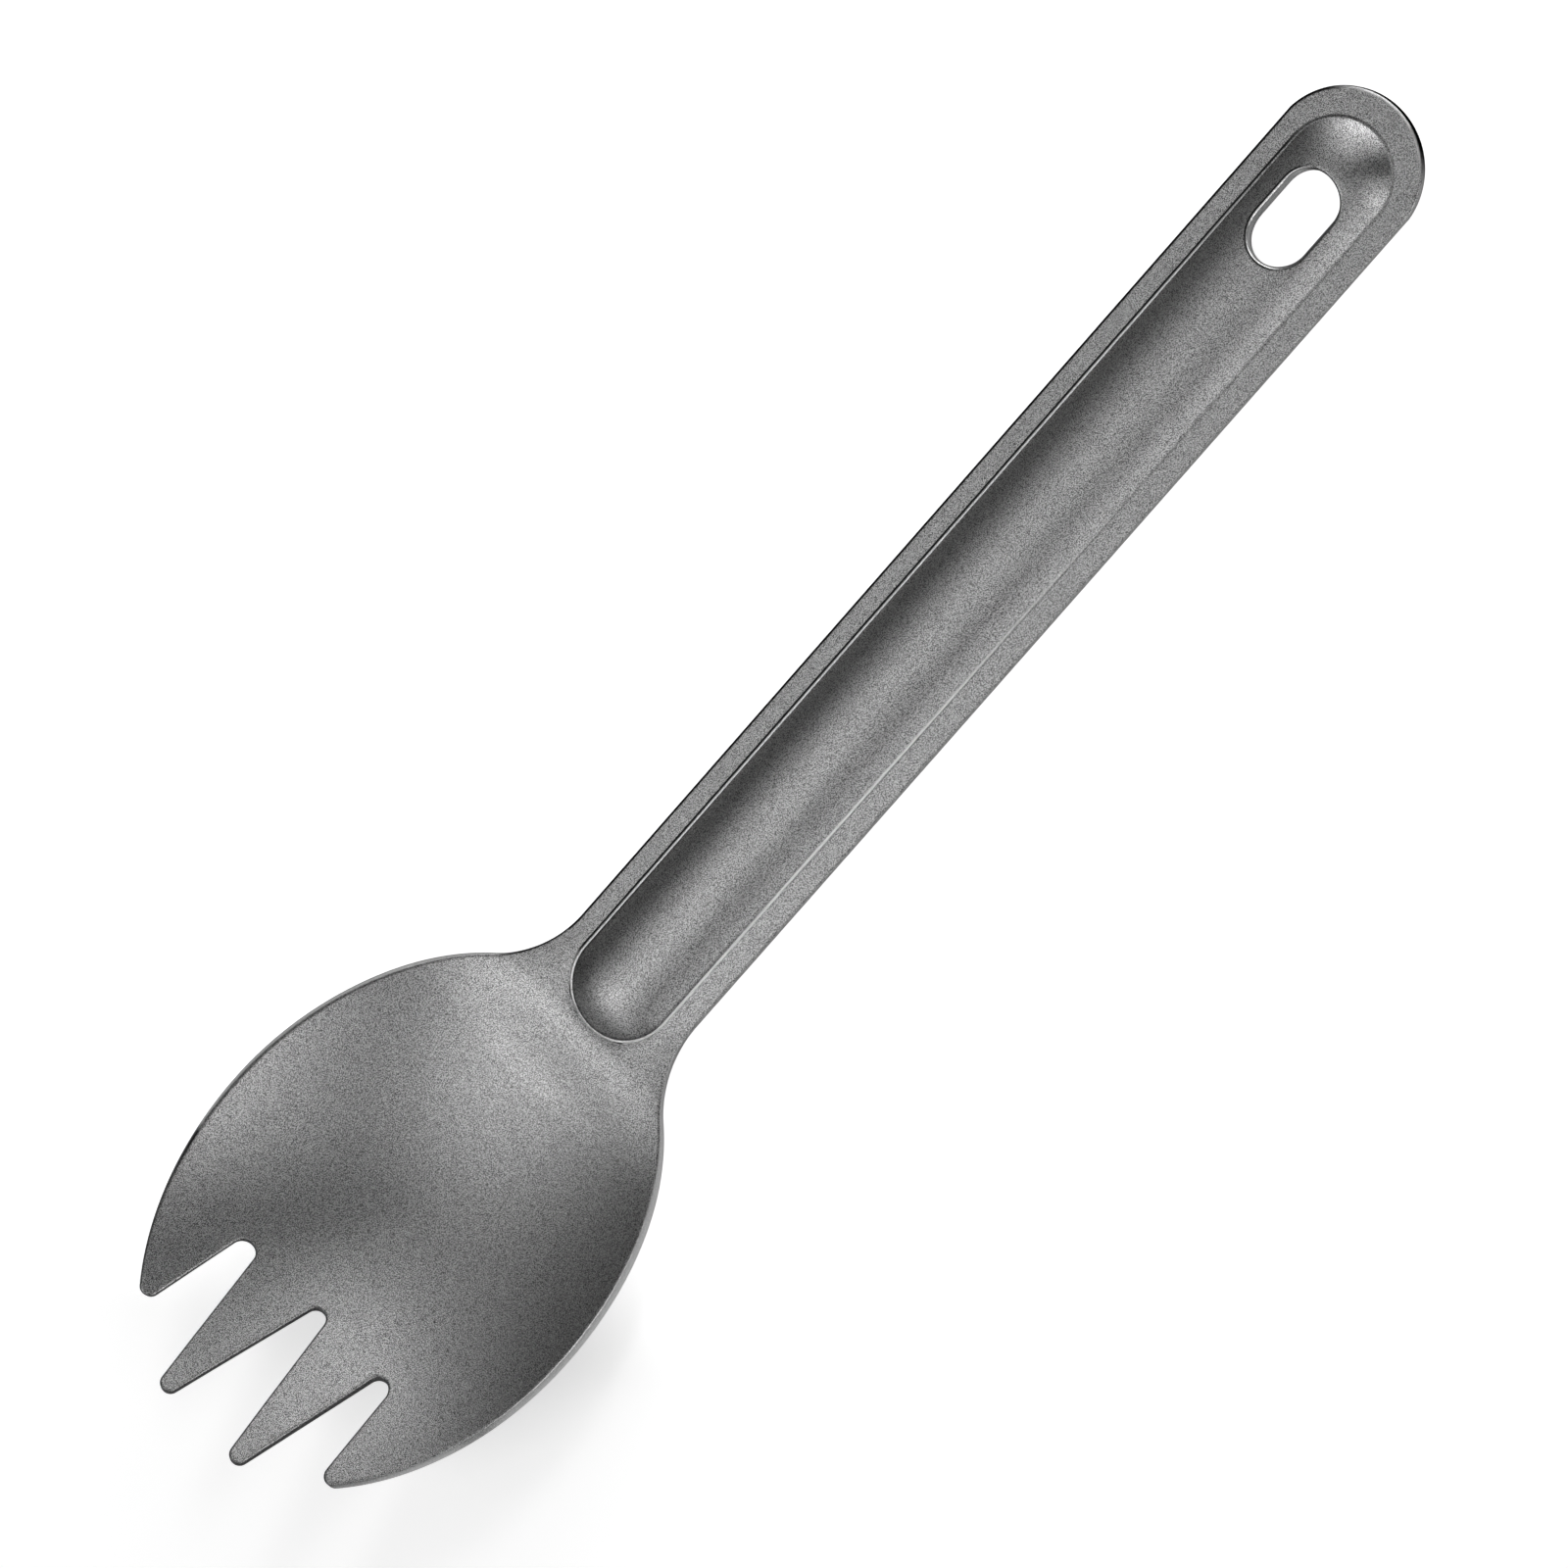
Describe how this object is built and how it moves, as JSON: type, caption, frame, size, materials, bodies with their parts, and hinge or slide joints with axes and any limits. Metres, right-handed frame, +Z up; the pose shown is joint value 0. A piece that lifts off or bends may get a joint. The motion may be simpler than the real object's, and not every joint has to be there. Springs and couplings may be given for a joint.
{
  "type": "spork",
  "caption": "One-piece sheet titanium camping spork: oval bowl with four short tines, ridged handle with a hanging slot.",
  "frame": {"origin": "on the table plane, under the middle of the overall length", "axes": "+X from the tines to the end of the handle, +Z up out of the bowl's hollow, +Y across"},
  "size_m": [0.165, 0.042, 0.0145],
  "materials": {
    "titanium": "bead-blasted titanium"
  },
  "bodies": {
    "root": {"spork_body": "titanium"}
  },
  "joints": []
}
